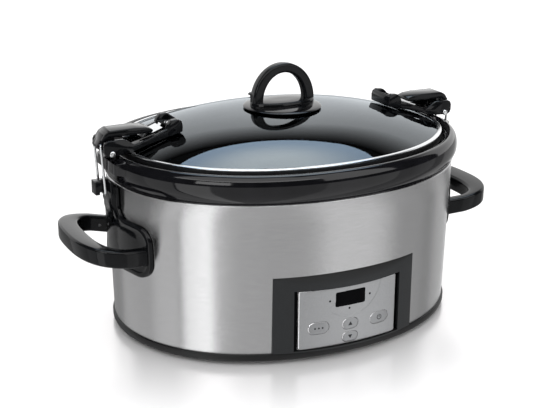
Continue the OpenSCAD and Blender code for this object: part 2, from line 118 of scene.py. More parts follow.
def surface(name, color, vary, roughness, metallic=0.0, bump=0.02, scale=60.0, stretch=(1, 1, 1),
            specular=0.5, anisotropic=0.0):
    """Material whose colour, roughness and height all follow a noise in object space."""
    material, nodes, shader = new_material(name)
    mapping = add_node(nodes, "Mapping", Scale=stretch)
    feed_object_space(mapping, "Vector")
    noise = add_node(nodes, "TexNoise", Scale=scale, Detail=5)
    wire(mapping, "Vector", noise, "Vector")
    ramp = add_node(nodes, "ValToRGB")
    dark, light = ramp.color_ramp.elements
    dark.position = 0.3
    light.position = 0.7
    dark.color = [c * (1 - vary) for c in color] + [1]
    light.color = [min(1, c * (1 + vary)) for c in color] + [1]
    wire(noise, "Fac", ramp, "Fac")
    wire(ramp, "Color", shader, "Base Color")
    spread = add_node(nodes, "MapRange", To_Min=roughness[0], To_Max=roughness[1])
    wire(noise, "Fac", spread, "Value")
    wire(spread, "Result", shader, "Roughness")
    height = add_node(nodes, "Bump", Strength=bump, Distance=0.0005)
    wire(noise, "Fac", height, "Height")
    wire(height, "Normal", shader, "Normal")
    set_inputs(shader, Metallic=metallic, Specular_IOR_Level=specular)
    if anisotropic:
        set_inputs(shader, Anisotropic=anisotropic, Anisotropic_Rotation=0.25)
        tangent = add_node(nodes, "Tangent")
        tangent.direction_type = "RADIAL"
        tangent.axis = "Z"
        wire(tangent, "Tangent", shader, "Tangent")
    return material


def by_facing(material, axis, begin, end, color, roughness):
    """Blends to another colour and roughness as the normal's component along an axis goes from begin to end;
    on the bezel this paints shade on its upward faces.
    """
    nodes, links = material.node_tree.nodes, material.node_tree.links
    shader = nodes["Principled BSDF"]
    geometry = add_node(nodes, "NewGeometry")
    parts = add_node(nodes, "SeparateXYZ")
    wire(geometry, "Normal", parts, "Vector")
    span = add_node(nodes, "MapRange", From_Min=begin, From_Max=end)
    wire(parts, axis, span, "Value")
    for kind, name, value in (("RGBA", "Base Color", (*color, 1)), ("FLOAT", "Roughness", roughness)):
        blend = add_node(nodes, "Mix")
        blend.data_type = kind
        first, second = [i for i in blend.inputs if i.enabled and i.name in ("A", "B")]
        wire(span, "Result", blend, "Factor")
        links.new(shader.inputs[name].links[0].from_socket, first)
        second.default_value = value
        output = next(o for o in blend.outputs if o.enabled)
        links.new(output, shader.inputs[name])


def glass_material():
    """Tempered glass seen as a thin shell: it reflects by angle and lets the dark crock show through."""
    material, nodes = bare_material("lid_glass")
    noise = add_node(nodes, "TexNoise", Scale=6)
    tint = add_node(nodes, "ValToRGB")
    tint.color_ramp.elements[0].color = (0.30, 0.33, 0.36, 1)
    tint.color_ramp.elements[1].color = (0.36, 0.39, 0.42, 1)
    wire(noise, "Fac", tint, "Fac")
    clear = add_node(nodes, "BsdfTransparent")
    wire(tint, "Color", clear, "Color")
    shine = add_node(nodes, "BsdfGlossy", Color=(0.86, 0.91, 0.95, 1), Roughness=0.025)
    fresnel = add_node(nodes, "Fresnel", IOR=1.75)
    mix = add_node(nodes, "MixShader")
    wire(fresnel, "Fac", mix, "Fac")
    wire(clear, "BSDF", mix, 1)
    wire(shine, "BSDF", mix, 2)
    show(mix, "Shader")
    return material


# Each row: base colour, how far it varies, roughness from and to, and what differs from surface()'s defaults.
FINISHES = {
    "wrap_steel": ((0.56, 0.56, 0.565), 0.05, (0.22, 0.29),
                   dict(metallic=1.0, bump=0.2, scale=90, stretch=(1, 1, 26), anisotropic=0.95)),
    "charcoal_plastic": ((0.007, 0.007, 0.0075), 0.2, (0.34, 0.44), dict(bump=0.05, scale=500, specular=0.3)),
    "bezel_plastic": ((0.012, 0.0135, 0.015), 0.1, (0.36, 0.46), dict(bump=0.06, scale=700, specular=0.4)),
    "black_plastic": ((0.004, 0.0043, 0.005), 0.3, (0.07, 0.13), dict(scale=90, specular=0.22)),
    "foot_rubber": ((0.012, 0.012, 0.012), 0.3, (0.7, 0.85), dict(bump=0.2, scale=400)),
    "screw_steel": ((0.50, 0.50, 0.51), 0.1, (0.25, 0.4), dict(metallic=1.0, scale=300)),
    "well_metal": ((0.10, 0.105, 0.11), 0.2, (0.35, 0.5), dict(metallic=0.4, scale=120, bump=0.1)),
    "heater_metal": ((0.55, 0.50, 0.40), 0.15, (0.35, 0.5), dict(metallic=0.9, scale=200, bump=0.2)),
    "board_green": ((0.01, 0.07, 0.03), 0.25, (0.3, 0.45), dict(scale=300, bump=0.05)),
    "component_dark": ((0.012, 0.012, 0.014), 0.3, (0.4, 0.55), dict(scale=300)),
    "component_yellow": ((0.42, 0.26, 0.04), 0.2, (0.35, 0.5), dict(scale=200)),
    "fuse_ceramic": ((0.60, 0.55, 0.45), 0.1, (0.3, 0.45), dict(scale=300)),
    "fascia_silver": ((0.42, 0.425, 0.435), 0.06, (0.34, 0.42), dict(metallic=0.85, bump=0.05, scale=900)),
    "button_silver": ((0.36, 0.365, 0.375), 0.06, (0.32, 0.40), dict(metallic=0.85, bump=0.04, scale=900)),
    "display_lens": ((0.0012, 0.0012, 0.0016), 0.3, (0.10, 0.16), dict(specular=0.03)),
    "crock_glaze": ((0.004, 0.004, 0.005), 0.35, (0.05, 0.10), dict(bump=0.03, scale=45, specular=0.42)),
    "lid_band": ((0.72, 0.73, 0.74), 0.05, (0.12, 0.2), dict(metallic=1.0, scale=200)),
    "seal_rubber": ((0.008, 0.008, 0.009), 0.3, (0.35, 0.5), dict(scale=200, bump=0.05)),
    "hook_chrome": ((0.70, 0.71, 0.72), 0.05, (0.08, 0.15), dict(metallic=1.0, scale=200)),
}
MATERIALS = {name: surface(name, color, vary, roughness, **more)
             for name, (color, vary, roughness, more) in FINISHES.items()}
MATERIALS["lid_glass"] = glass_material()
# Painted shade: the bezel's upward faces, the visor's among them, are darkened below its front. Turned edges
# of the fascia are polished.
by_facing(MATERIALS["bezel_plastic"], "Z", 0.15, 0.4, (0.001, 0.001, 0.0012), 0.6)
for polished in ("fascia_silver", "button_silver"):
    by_facing(MATERIALS[polished], "Y", -0.93, -0.75, (0.92, 0.92, 0.93), 0.16)
MARK_INK = surface("mark_ink", (0.012, 0.012, 0.014), 0.2, (0.45, 0.6), scale=300)


# ---- mesh helpers


def new_object(name, data):
    obj = bpy.data.objects.new(name, data)
    bpy.context.collection.objects.link(obj)
    return obj


def smooth(mesh, sharp):
    """Smooth shading, with crisp edges where the faces meet at more than an angle in degrees."""
    mesh.shade_smooth()
    mesh.set_sharp_from_angle(angle=radians(sharp))


def build(name, points_mm, faces, sharp=35):
    """Smooth-shaded object from points in millimetres."""
    mesh = bpy.data.meshes.new(name)
    mesh.from_pydata([Vector(p) * MM for p in points_mm], [], faces)
    work = bmesh.new()
    work.from_mesh(mesh)
    bmesh.ops.remove_doubles(work, verts=work.verts, dist=1e-6)
    bmesh.ops.recalc_face_normals(work, faces=work.faces)
    work.to_mesh(mesh)
    work.free()
    smooth(mesh, sharp)
    return new_object(name, mesh)


def soften(obj, width, segments=3, angle=32):
    """Rounds the edges of a piece by a width in millimetres."""
    bevel = obj.modifiers.new("soft edges", "BEVEL")
    bevel.width = width * MM
    bevel.segments = segments
    bevel.limit_method = "ANGLE"
    bevel.angle_limit = radians(angle)
    bevel.harden_normals = True
    return obj


def place(obj, body, slot, *nodes):
    """Puts a piece on its body with its material, in place of the CAD nodes named."""
    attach(obj, body)
    if nodes:
        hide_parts(*nodes)
    obj.data.materials.append(MATERIALS[slot])


def freeze(obj):
    """Applies the object's modifiers to its mesh."""
    graph = bpy.context.evaluated_depsgraph_get()
    mesh = bpy.data.meshes.new_from_object(obj.evaluated_get(graph))
    obj.modifiers.clear()
    obj.data = mesh


def cut(obj, cutters):
    """Takes the cutters away from the object, and then removes them from the scene."""
    for cutter in cutters:
        boolean = obj.modifiers.new("cut", "BOOLEAN")
        boolean.object = cutter
        boolean.solver = "EXACT"
    bpy.context.view_layer.update()
    freeze(obj)
    for cutter in cutters:
        bpy.data.objects.remove(cutter)
    smooth(obj.data, 30)


def signed_power(value, power):
    return copysign(abs(value) ** power, value)


def oval(a, b, z):
    """Points round an oval with half axes a and b, at a height."""
    power = 2 / EXPONENT
    return [(a * signed_power(cos(t), power), b * signed_power(sin(t), power), z) for t in turns()]


def oval_ring(grow, z):
    """The body's oval with both half axes longer by grow."""
    return oval(HALF_A + grow, HALF_B + grow, z)


def oval_reach(a, b, y):
    """How far an oval reaches along its half axis a, at a place along b."""
    return a * (1 - (abs(y) / b) ** EXPONENT) ** (1 / EXPONENT)


def oval_y(x, grow):
    """Half depth of the body's oval at a place along X."""
    return oval_reach(HALF_B + grow, HALF_A + grow, x)


def taper_at(z):
    """How far the wall leans in at a height."""
    return TAPER * (WRAP_TOP - z)


def turns(count=SEGMENTS):
    return [2 * pi * i / count for i in range(count)]


def circle(x, z, radius, count):
    return [(x + radius * cos(t), z + radius * sin(t)) for t in turns(count)]


def skin(rings, closed_section=False, cap_first=False, cap_last=False):
    """Points and faces of a surface through closed rings of equal length."""
    count = len(rings[0])
    points = [p for ring in rings for p in ring]
    faces = []
    for k in range(len(rings) if closed_section else len(rings) - 1):
        low, high = k * count, ((k + 1) % len(rings)) * count
        for i in range(count):
            j = (i + 1) % count
            faces.append((low + i, low + j, high + j, high + i))
    if cap_first:
        faces.append(tuple(range(count)))
    if cap_last:
        faces.append(tuple(range((len(rings) - 1) * count, len(rings) * count)))
    return points, faces


def rounded(profile, steps=4):
    """Catmull-Rom curve through a list of (offset, height) pairs."""
    out = []
    for i in range(len(profile) - 1):
        p0, p1 = profile[max(i - 1, 0)], profile[i]
        p2, p3 = profile[i + 1], profile[min(i + 2, len(profile) - 1)]
        for s in range(steps):
            t = s / steps
            point = []
            for a, b, c, d in zip(p0, p1, p2, p3):
                square, cube = 2 * a - 5 * b + 4 * c - d, 3 * b - a - 3 * c + d
                point.append(0.5 * (2 * b + (c - a) * t + square * t * t + cube * t ** 3))
            out.append(tuple(point))
    out.append(profile[-1])
    return out


def solid(name, rings, sharp):
    """Object with a surface through rings of points and a cap at both ends."""
    return build(name, *skin(rings, cap_first=True, cap_last=True), sharp)


def oval_band(name, section):
    return build(name, *skin([oval_ring(*p) for p in section], closed_section=True))


def lathe(name, profile, centre, count=96, sharp=35):
    """Solid turned about a vertical axis from (radius, height) pairs."""
    rings = [[(x, y, z) for x, y in circle(*centre, r, count)] for r, z in profile]
    return solid(name, rings, sharp)


def prism(name, near, far, sharp):
    """Solid between the near and the far copy of an outline."""
    count = len(near)
    faces = [tuple(range(count)), tuple(range(count, 2 * count))]
    faces += [(i, (i + 1) % count, count + (i + 1) % count, count + i) for i in range(count)]
    return build(name, near + far, faces, sharp)


def slab(name, outline, y0, y1, side=1):
    """Prism along Y of an outline in X and Z; side -1 mirrors it to the left-hand end."""
    near, far = [[(side * x, y, z) for x, z in outline] for y in (y0, y1)]
    return prism(name, near, far, 35)


def bar_section(outer, inner, half, edge, steps):
    """Rounded rectangle that stands on the line between two points of a plane: two places and a rise each."""
    width = dist(outer, inner)
    section = []
    for k, (at_outer, up) in enumerate(((1, 1), (0, 1), (0, -1), (1, -1))):
        for i in range(steps + 1):
            a = radians(90 * k + 90 * i / steps)
            share = ((width - edge if at_outer else edge) + edge * cos(a)) / width
            place_on_line = [low + (high - low) * share for low, high in zip(inner, outer)]
            section.append((*place_on_line, up * (half - edge) + edge * sin(a)))
    return section


def join(name, parts):
    """One object from several, keeping each one's own shape."""
    work = bmesh.new()
    for part in parts:
        freeze(part)
        work.from_mesh(part.data)
    mesh = bpy.data.meshes.new(name)
    work.to_mesh(mesh)
    work.free()
    for part in parts:
        bpy.data.objects.remove(part)
    smooth(mesh, 50)
    return new_object(name, mesh)


def stadium(x, z, width, height, count=16):
    """Outline of a slot with round ends, in X and Z."""
    radius, half = height / 2, (width - height) / 2
    angles = [pi * (i / count - 0.5) for i in range(count + 1)]
    right = [(x + half + radius * cos(a), z + radius * sin(a)) for a in angles]
    return right + [(x - half - radius * cos(a), z - radius * sin(a)) for a in angles]


def tube(name, path, radius, sides=16):
    """Round wire along a path in millimetres, with closed ends."""
    rings = []
    side_axis = None
    for i, p in enumerate(path):
        ahead = Vector(path[min(i + 1, len(path) - 1)]) - Vector(path[max(i - 1, 0)])
        ahead.normalize()
        if side_axis is None:
            side_axis = ahead.orthogonal().normalized()
        side_axis = (side_axis - ahead * side_axis.dot(ahead)).normalized()
        up = ahead.cross(side_axis)
        around = [side_axis * cos(t) + up * sin(t) for t in turns(sides)]
        rings.append([tuple(Vector(p) + radius * way) for way in around])
    return solid(name, rings, 50)


# ---- housing

bezel_low, bezel_high = size_mm("control_bezel")
PANEL_HALF = bezel_high[0]
PANEL_FOOT, PANEL_TOP = bezel_low[2], bezel_high[2]
NOTCH_HALF = PANEL_HALF + 0.2
NOTCH_TOP = PANEL_TOP + 0.2


def make_wrap():
    """Steel wrap with its panel notch: columns run up the wall, two of them on the notch's edges."""
    columns = [point[:2] for point in oval_ring(0, 0)]
    columns = [c for c in columns if not (c[1] < 0 and abs(abs(c[0]) - NOTCH_HALF) < 1.2)]
    columns += [(-NOTCH_HALF, -oval_y(NOTCH_HALF, 0)), (NOTCH_HALF, -oval_y(NOTCH_HALF, 0))]
    columns.sort(key=lambda c: atan2(c[1], c[0]))
    rows = [(-taper_at(z), z) for z in (6, 8, WRAP_FOOT, 30, 55, NOTCH_TOP, 105, 130, WRAP_TOP - 1.6)]
    curl = rounded([(-0.02, -1.6), (0.3, -0.9), (0.25, -0.3), (-0.35, 0)], 3)[1:]
    rows += [(grow, WRAP_TOP + drop) for grow, drop in curl + [(-0.8, -0.2), (-0.85, -2.5)]]
    count = len(columns)
    points = []
    for grow, z in rows:
        for x, y in columns:
            if abs(abs(x) - NOTCH_HALF) < 0.01 and y < 0:
                points.append((x, -oval_y(x, grow), z))
            else:
                points.append((x * (1 + grow / HALF_A), y * (1 + grow / HALF_B), z))
    faces = []
    for k in range(len(rows) - 1):
        for i in range(count):
            j = (i + 1) % count
            middle = (columns[i][0] + columns[j][0]) / 2
            if columns[i][1] < 0 and abs(middle) < NOTCH_HALF and rows[k + 1][1] <= NOTCH_TOP + 0.1:
                continue
            faces.append((k * count + i, k * count + j, (k + 1) * count + j, (k + 1) * count + i))
    place(build("wrap_skin", points, faces, 40), "housing", "wrap_steel", "steel_wrap")


SCREW_AT, FOOT_AT, CUT_TOP = (62, 52), (105, 74), 12


def make_base():
    """Black ring at the foot, closed below, with air slots at the back and holes for feet and screws."""
    section = rounded([(-6, 3), (-2.8, 3.7), (-1.8, 6)])
    section += [(-1.75, 9.4), (-2.1, 10.3), (-3.15, 10.5), (-3.2, 5.9)]
    tray = solid("tray_ring", [oval_ring(*p) for p in section], 40)
    cutters = []
    for x in range(-40, 41, 10):
        slot = [(x - 1.5, 0), (x + 1.5, 0), (x + 1.5, CUT_TOP), (x - 1.5, CUT_TOP)]
        cutters.append(slab("slot", slot, 70, 98))
    for sx in (-1, 1):
        for sy in (-1, 1):
            for radius, (x, y) in ((5, FOOT_AT), (4.2, SCREW_AT)):
                cutters.append(lathe("hole", [(radius, 0), (radius, CUT_TOP)], (sx * x, sy * y), 32))
    cut(tray, cutters)
    place(tray, "housing", "charcoal_plastic", "base_tray")


def bow(x):
    """From 1 in the middle of the panel to 0 at its sides."""
    return 1 - (x / PANEL_HALF) ** 2


BEZEL_BULGE, BEZEL_OFF, BEZEL_BACK = 3.0, 0.15, 5
BEZEL_COLUMNS, BEZEL_ROWS = 60, 9
VISOR_DIP, VISOR_THICK = 6.5, 0.6
SIDE_STEPS = (30, 50)
OPENING_HALF = 54.5
OPENING_FOOT, OPENING_TOP = 12.2, 70.0
FACE_RADIUS = 243.0
FACE_CENTRE = FACE_RADIUS + size_mm("panel_plate")[0][1]
PLATE_HALF = 50.3
LEDGE_HALF, LEDGE_DEPTH = 46.3, 2.5


def bezel_front(x):
    """Front of the surround at a place along X."""
    return -(oval_y(x, -taper_at(PANEL_TOP)) + BEZEL_OFF + (BEZEL_BULGE - 0.05) * bow(x))


def face_y(x, depth=0.0):
    """Front of the silver fascia at a place along X, set back by a depth."""
    return -(sqrt((FACE_RADIUS - depth) ** 2 - x * x) - FACE_CENTRE)


def make_bezel():
    """Bezel as a grid over the panel: bottom, front, visor and back rows, with the opening left out."""
    spread = [-PANEL_HALF + 2 * PANEL_HALF * i / BEZEL_COLUMNS for i in range(BEZEL_COLUMNS + 1)]
    columns = sorted([x for x in spread if abs(abs(x) - OPENING_HALF) > 1] + [-OPENING_HALF, OPENING_HALF])
    points, faces = [], []

    def opening_top(x):
        return OPENING_TOP - (sag(x) if abs(x) < PLATE_HALF else 0)

    for x in columns:
        wall = oval_y(x, -taper_at(PANEL_TOP))
        visor_edge = PANEL_TOP - VISOR_THICK - VISOR_DIP * bow(x)
        points.append((x, -wall + BEZEL_BACK, PANEL_FOOT))
        for z in (PANEL_FOOT, OPENING_FOOT, *SIDE_STEPS, opening_top(x), visor_edge):
            points.append((x, bezel_front(x), z))
        points += [(x, -wall, PANEL_TOP), (x, -wall + BEZEL_BACK, PANEL_TOP)]
    for i in range(len(columns) - 1):
        left, right = i * BEZEL_ROWS, (i + 1) * BEZEL_ROWS
        inside = abs(columns[i] + columns[i + 1]) / 2 < OPENING_HALF
        for k in range(BEZEL_ROWS):
            if inside and 2 <= k <= 4:
                continue
            above = (k + 1) % BEZEL_ROWS
            faces.append((left + k, right + k, right + above, left + above))
    for first in (0, len(points) - BEZEL_ROWS):
        faces.append(tuple(range(first, first + BEZEL_ROWS)))
    mouth = [x for x in columns if abs(x) <= OPENING_HALF]
    rim = [(x, OPENING_FOOT) for x in mouth] + [(OPENING_HALF, z) for z in SIDE_STEPS]
    rim += [(x, opening_top(x)) for x in reversed(mouth)] + [(-OPENING_HALF, z) for z in reversed(SIDE_STEPS)]
    start, loops = len(points), len(rim)

    def ledge(x, z):
        """Place on the ledge behind the opening that belongs to a place on its rim."""
        inner = max(-LEDGE_HALF, min(LEDGE_HALF, x))
        return inner, max(OPENING_FOOT, min(PLATE_TOP - sag(inner) - 1.6, z))

    inward = [ledge(x, z) for x, z in rim]
    points += [(x, bezel_front(x), z) for x, z in rim]
    points += [(x, face_y(x, LEDGE_DEPTH), z) for x, z in rim]
    points += [(x, face_y(x, LEDGE_DEPTH), z) for x, z in inward]
    points += [(x, face_y(x, LEDGE_DEPTH) + 4, z) for x, z in inward]
    for k in range(3):
        for i in range(loops):
            j = (i + 1) % loops
            low, high = start + k * loops, start + (k + 1) * loops
            faces.append((low + i, low + j, high + j, high + i))
    bezel = build("bezel_frame", points, faces, 28)
    soften(bezel, 0.45, 2, 28)
    place(bezel, "housing", "bezel_plastic", "control_bezel")
    # Painted shade: faces set back in the groove behind the opening, between the bezel's front and the
    # fascia, get the near-black lens material as a second slot, standing in for the shadow there.
    bezel.data.materials.append(MATERIALS["display_lens"])
    for face in bezel.data.polygons:
        x, y, z = [v / MM for v in face.center]
        in_shaded_groove = abs(x) < OPENING_HALF - 0.1 and OPENING_FOOT < z < PLATE_TOP and y > face_y(x, 1.0)
        if in_shaded_groove and y < face_y(x, 3.5):
            face.material_index = 1


# Each key: middle in X and Z, width, height.
BUTTONS = {
    "select": (-31.5, 32.0, 21.0, 12.0),
    "power": (31.5, 31.0, 21.0, 12.0),
    "up": (0.0, 31.5, 17.0, 11.0),
    "down": (0.0, 19.0, 17.0, 10.0),
}
DISH_RADIUS, DISH_CENTRE, DISH_DEPTH = 33.0, 72.0, 0.5
DISH_EDGE = ((-42.7, 30.0), (2.5, 71.5))
PLATE_FOOT, PLATE_TOP, PLATE_DIP = 12.4, 69.4, 1.0
PLATE_CORNER, PLATE_ROLL, PLATE_BACK = 2.2, 1.1, 2.35
WINDOW = (-15.4, 15.4, 49.5, 63.9)
KEY_GAP, KEY_PROUD, INK_PROUD = 0.35, 0.28, 0.36


def rounded_box(x0, x1, z0, z1, radius, count=6):
    """Outline of a rectangle with round corners, in X and Z."""
    out = []
    for cx, cz, start in ((x1 - radius, z1 - radius, 0), (x0 + radius, z1 - radius, 90),
                          (x0 + radius, z0 + radius, 180), (x1 - radius, z0 + radius, 270)):
        for i in range(count + 1):
            a = radians(start + 90 * i / count)
            out.append((cx + radius * cos(a), cz + radius * sin(a)))
    return out


def plate_depth(x, z):
    """How far the fascia's front is set back: the shallow round dish round the display."""
    reach = DISH_RADIUS - hypot(x, z - DISH_CENTRE)
    (x0, z0), (x1, z1) = DISH_EDGE
    beyond = ((x - x0) * (z1 - z0) - (z - z0) * (x1 - x0)) / hypot(x1 - x0, z1 - z0)
    step = min(1.0, max(0.0, min(reach, beyond) / 0.9))
    return DISH_DEPTH * step * step * (3 - 2 * step)


def sag(x):
    """How far the fascia's top edge hangs at a place along X."""
    return PLATE_DIP * (1 - (x / PLATE_HALF) ** 2)


def edge_depth(x, z):
    """How far the fascia's front is set back near its border: rolled edges and rounded corners."""
    half_height = (PLATE_TOP - sag(x) - PLATE_FOOT) / 2
    across = abs(x) - (PLATE_HALF - PLATE_CORNER)
    along = abs(z - PLATE_FOOT - half_height) - (half_height - PLATE_CORNER)
    beyond = min(max(across, along), 0) + hypot(max(across, 0), max(along, 0)) - PLATE_CORNER
    if beyond >= 0:
        return PLATE_BACK - 0.05
    if beyond <= -PLATE_ROLL:
        return 0.0
    return PLATE_ROLL - sqrt(PLATE_ROLL ** 2 - (PLATE_ROLL + beyond) ** 2)


def shares(length, count):
    """Places from 0 to 1 along a side, close together near both ends, where the edge is rolled."""
    near = [0, 0.06, 0.2, 0.4, 0.7, 1.05, 1.5, 2.0]
    inner = [near[-1] + (length - 2 * near[-1]) * i / count for i in range(1, count)]
    return [v / length for v in near + inner + [length - v for v in reversed(near)]]


def make_plate():
    """Fascia as a fine grid in front and a plain one behind, with openings for the keys and the window."""
    across, up = shares(2 * PLATE_HALF, 140), shares(PLATE_TOP - PLATE_FOOT, 84)
    columns, rows = len(across) - 1, len(up) - 1
    points, faces = [], []
    for layer in (0, 1):
        for share_z in up:
            for share_x in across:
                x = -PLATE_HALF + 2 * PLATE_HALF * share_x
                z = PLATE_FOOT + (PLATE_TOP - sag(x) - PLATE_FOOT) * share_z
                depth = max(plate_depth(x, z), edge_depth(x, z)) + 0.02 if layer == 0 else PLATE_BACK
                points.append((x, face_y(x, depth), z))
    width, layer_size = columns + 1, (columns + 1) * (rows + 1)
    for r in range(rows):
        for c in range(columns):
            a = r * width + c
            faces.append((a, a + 1, a + width + 1, a + width))
            b = a + layer_size
            faces.append((b, b + width, b + width + 1, b + 1))
    edge = list(range(width)) + [r * width + columns for r in range(1, rows + 1)]
    edge += [rows * width + c for c in range(columns - 1, -1, -1)]
    edge += [r * width for r in range(rows - 1, 0, -1)]
    for i, a in enumerate(edge):
        b = edge[(i + 1) % len(edge)]
        faces.append((a, b, b + layer_size, a + layer_size))
    plate = build("fascia", points, faces, 60)
    cutters = [slab("hole", stadium(x, z, w, h), -150, -110) for x, z, w, h in BUTTONS.values()]
    cutters.append(slab("hole", rounded_box(*WINDOW, 1.6), -150, -110))
    cut(plate, cutters)
    plate.data.set_sharp_from_angle(angle=radians(60))
    soften(plate, 0.4, 3, 75)
    place(plate, "housing", "fascia_silver", "panel_plate")


def curved_cap(name, outline, front, back):
    """Solid behind an outline in X and Z whose front follows the fascia; front and back are depths."""
    count = len(outline)
    cx = sum(p[0] for p in outline) / count
    cz = sum(p[1] for p in outline) / count
    rings = []
    levels = [(1.0, back), (1.0, front + 0.55), (0.97, front + 0.2), (0.9, front + 0.03)]
    for share, depth in levels + [(share, front) for share in (0.6, 0.3, 0.02)]:
        rings.append([(cx + (x - cx) * share, face_y(cx + (x - cx) * share, depth), cz + (z - cz) * share)
                      for x, z in outline])
    return solid(name, rings, 40)


def mark(name, outline, depth):
    """Thin printed symbol that follows the fascia's curve."""
    near, far = [[(x, face_y(x, d), z) for x, z in outline] for d in (depth, depth + 0.12)]
    return prism(name, near, far, 30)


def ink(name, outline, key):
    """Dark symbol printed on a key."""
    symbol = mark(name, outline, -INK_PROUD)
    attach(symbol, f"{key}_key")
    symbol.data.materials.append(MARK_INK)


def make_buttons():
    for key, (x, z, w, h) in BUTTONS.items():
        outline = stadium(x, z, w - 2 * KEY_GAP, h - 2 * KEY_GAP, 20)
        cap = curved_cap(f"{key}_cap", outline, -KEY_PROUD, 2.6)
        place(cap, f"{key}_key", "button_silver", f"{key}_button")
    for key, way in (("up", 1), ("down", -1)):
        x, z = BUTTONS[key][:2]
        ink(f"{key}_arrow", [(x - 2.2, z - 1.6 * way), (x + 2.2, z - 1.6 * way), (x, z + 2.1 * way)], key)
    x, z = BUTTONS["select"][:2]
    for i, dx in enumerate((-3.6, 0, 3.6)):
        ink(f"select_dot_{i}", circle(x + dx, z, 0.9, 16), "select")
    x, z = BUTTONS["power"][:2]
    ink("power_bar", [(x - 0.4, z), (x + 0.4, z), (x + 0.4, z + 3), (x - 0.4, z + 3)], "power")
    arc = [radians(120 + 300 * i / 20) for i in range(21)]
    outer, inner = [[(x + r * cos(a), z + 0.2 + r * sin(a)) for a in arc] for r in (2.6, 1.9)]
    for i in range(20):
        ink(f"power_arc_{i}", [outer[i], outer[i + 1], inner[i + 1], inner[i]], "power")


def make_window():
    """Display lens, and the three indicator lamps round it."""
    x0, x1, z0, z1 = WINDOW
    outline = rounded_box(x0 + 0.15, x1 - 0.15, z0 + 0.15, z1 - 0.15, 1.5)
    lens = curved_cap("display_lens", outline, 0.35, 2.3)
    place(lens, "housing", "display_lens", "display_window")
    for i, (x, z) in enumerate(((-21.0, 56.5), (20.5, 56.5), (-1.0, 46.6))):
        lamp = mark(f"indicator_{i}", circle(x, z, 1.0, 20), plate_depth(x, z) - 0.02)
        place(lamp, "housing", "display_lens")


# ---- side handles

LOOP_WIDEST, LOOP_BASE = 178.0, 165.0
LOOP_RISE, LOOP_MID, LOOP_HEIGHT, LOOP_STEPS = 0.15, 93.5, 16.0, 44
LOOP_HALF, LOOP_LEG, LOOP_GRIP, LEG_SPLAY = 60.0, 10.5, 19.5, 15.0
LOOP_POWER, LOOP_EDGE, LEG_FOOT, LEG_BEND = 2.7, 2.6, 157.0, 8
LOOP_TIP = size_mm("side_handle_right")[1][0] - 0.05
POST_X, HEAD_X, HEAD_TIP, HOOK_TOP = 178.5, 186.4, 190.6, 153.8
WEB_Z, LIP_Z = 143.8, 141.3


def loop_mesh(name, side):
    """Grip loop: a rounded section carried round the outline, flat on top and bottom, wide at the tip."""
    stations = []
    reach = LOOP_TIP - LOOP_WIDEST
    for i in range(LOOP_STEPS + 1):
        a = pi * (i / LOOP_STEPS - 0.5)
        c, s = signed_power(cos(a), 2 / LOOP_POWER), signed_power(sin(a), 2 / LOOP_POWER)
        outer = (LOOP_WIDEST + reach * c, LOOP_HALF * s)
        inner = (LOOP_WIDEST + (reach - LOOP_GRIP) * c, (LOOP_HALF - LOOP_LEG) * s)
        stations.append((outer, inner))

    def leg(sign, x, drop):
        return (x, sign * (LOOP_HALF - drop)), (x, sign * (LOOP_HALF - LOOP_LEG - drop))

    drop = (LOOP_WIDEST - LEG_FOOT) / (LOOP_WIDEST - 130) * LEG_SPLAY
    bend = (LOOP_WIDEST - LEG_BEND, LEG_BEND / 48 * LEG_SPLAY)
    foot = (LEG_FOOT, drop)
    stations = [leg(-1, *foot), leg(-1, *bend)] + stations + [leg(1, *bend), leg(1, *foot)]
    rings = []
    for outer, inner in stations:
        section = bar_section(outer, inner, LOOP_HEIGHT / 2 - 0.05, LOOP_EDGE, 4)
        rings.append([(side * x, y, LOOP_MID + LOOP_RISE * (x - LOOP_BASE) + rise)
                      for x, y, rise in section])
    return solid(name, rings, 60)


def plate_outline():
    """Half outline of the wall plate in Y and Z, from its foot round to the neck's top."""
    def bend(y, z, radius, first, last):
        angles = [radians(a) for a in range(first, last + 1, 10)]
        return [(y + radius * cos(a), z + radius * sin(a)) for a in angles]

    body = [(0, 71.2), (20, 71.2)] + bend(41, 87, 15.8, -90, 0) + bend(41, 105, 15.8, 0, 90)
    for degrees in range(0, 91, 10):
        a = radians(degrees)
        body.append((24.5 - 12 * sin(a), 132.9 - 12 * cos(a)))
    return body + [(12.4, 148)]


def wall_point(side, y, z, off):
    """Point at a distance off the steel at one end of the cooker."""
    return (side * oval_reach(HALF_A - taper_at(z) + off, HALF_B - taper_at(z) + off, y), y, z)


def plate_mesh(name, side):
    """Wall plate that hugs the steel: raised rounded border round a slightly sunk field."""
    half = plate_outline()
    outline = half + [(-y, z) for y, z in reversed(half[1:])]
    middle_z = 101.0

    def shrink(distance):
        """Outline moved inwards by a distance."""
        out = []
        for i, (y, z) in enumerate(outline):
            before, after = outline[i - 1], outline[(i + 1) % len(outline)]
            normal = Vector((after[1] - before[1], -(after[0] - before[0])))
            normal.normalize()
            out.append((y - normal.x * distance, z - normal.y * distance))
        return out

    levels = ((0.0, 0.75), (0.0, 2.4), (0.5, 3.2), (1.4, 3.5), (4.0, 3.5), (5.0, 2.9), (5.6, 2.7))
    rings = [[wall_point(side, y, z, off) for y, z in shrink(d)] for d, off in levels]
    last = shrink(5.6)
    for share in (0.8, 0.55, 0.3, 0.05):
        rings.append([wall_point(side, y * share, middle_z + (z - middle_z) * share, 2.7) for y, z in last])
    points, faces = skin(rings, cap_last=True)
    faces.append(tuple(range(len(outline))))
    return build(name, points, faces, 40)


